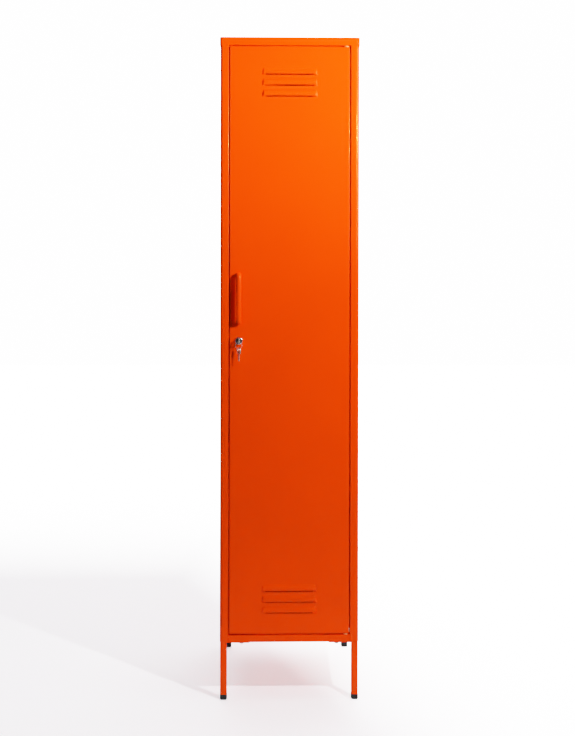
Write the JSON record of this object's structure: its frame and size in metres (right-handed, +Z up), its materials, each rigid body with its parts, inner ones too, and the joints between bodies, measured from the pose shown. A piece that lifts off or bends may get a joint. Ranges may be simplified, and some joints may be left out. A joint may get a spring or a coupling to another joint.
{
  "type": "school locker",
  "caption": "Tall narrow sheet-steel locker on legs, with a louvred pin-hinged door, D-handle, cam lock with keys, shelves and a coat rail.",
  "frame": {"origin": "on the floor, under the middle of the object's bounding box", "axes": "+Z up, the door faces -Y, +X to the right of someone facing the door"},
  "size_m": [0.3862, 0.4884, 1.83],
  "materials": {
    "shell_paint": "semi-gloss orange powder coat",
    "inner_paint": "semi-gloss orange powder coat",
    "handle_paint": "semi-gloss orange powder coat",
    "washer_paint": "pale orange nylon",
    "zinc": "bright zinc plate",
    "chrome": "polished chrome plate",
    "nickel": "satin nickel plate",
    "nylon": "natural nylon",
    "black_plastic": "matt black",
    "black_rubber": "matt black rubber"
  },
  "bodies": {
    "cabinet": {"top_panel": "shell_paint", "door_header": "shell_paint", "bottom_panel": "shell_paint", "side_panel_left": "shell_paint", "side_panel_right": "shell_paint", "back_panel": "inner_paint", "back_screws": "zinc", "back_nuts": "zinc", "top_nuts": "zinc", "leg_front_left": "shell_paint", "leg_front_right": "shell_paint", "leg_rear_left": "shell_paint", "leg_rear_right": "shell_paint", "foot_front_left": "black_rubber", "foot_front_right": "black_rubber", "foot_rear_left": "black_rubber", "foot_rear_right": "black_rubber", "leg_bolts": "zinc", "leg_nuts": "zinc", "upright_front_left": "inner_paint", "upright_front_right": "inner_paint", "upright_rear_left": "inner_paint", "upright_rear_right": "inner_paint", "upper_shelf": "inner_paint", "lower_shelf": "inner_paint", "shelf_clips": "zinc", "rail_bracket_left": "zinc", "rail_bracket_right": "zinc", "rail_rivets": "zinc", "hanging_rail": "chrome", "rail_end_caps": "black_plastic", "coat_hook_left": "zinc", "coat_hook_right": "zinc", "door_buffers": "black_rubber", "hinge_bush_top": "washer_paint", "hinge_bush_bottom": "washer_paint"},
    "door": {"door_skin": "shell_paint", "door_stiffener": "inner_paint", "hinge_block_bottom": "nylon", "hinge_pin_bottom": "zinc", "hinge_bracket_top": "zinc", "hinge_spring": "zinc", "door_handle": "handle_paint", "handle_screws": "zinc", "lock_barrel": "chrome", "lock_nut": "zinc"},
    "top_pin": {"hinge_pin_top": "zinc"},
    "lock_plug": {"lock_plug": "chrome", "lock_cam": "zinc", "cam_screw": "zinc"},
    "key": {"key": "nickel"},
    "key_ring": {"key_ring": "nickel"},
    "spare_key": {"spare_key": "nickel"}
  },
  "joints": [
    {"name": "door_swing", "type": "hinge", "parent": "cabinet", "child": "door", "pos_m": [0.157, -0.21123, 0.183], "axis": [0, 0, 1], "range_deg": [0, 110]},
    {"name": "top_pin_slide", "type": "slide", "parent": "door", "child": "top_pin", "axis": [0, 0, -1], "range_m": [0, 0.01], "stiffness_N_per_m": 400, "springref_m": -0.006, "deforming": ["hinge_spring"]},
    {"name": "lock_turn", "type": "hinge", "parent": "door", "child": "lock_plug", "pos_m": [-0.14, -0.21823, 0.993], "axis": [0, 1, 0], "range_deg": [0, 90]},
    {"name": "key_slide", "type": "slide", "parent": "lock_plug", "child": "key", "axis": [0, -1, 0], "range_m": [0, 0.024]},
    {"name": "key_ring_hang", "type": "hinge", "parent": "key", "child": "key_ring", "pos_m": [-0.14, -0.23623, 0.9865], "axis": [0, 1, 0], "range_deg": [-90, 0]},
    {"name": "spare_key_swing", "type": "hinge", "parent": "key_ring", "child": "spare_key", "pos_m": [-0.14, -0.23623, 0.9723], "axis": [1, 0, 0], "range_deg": [-60, 20]}
  ],
  "couplings": [
    {"joint": "key_ring_hang", "follows": "lock_turn", "ratio": -1}
  ]
}
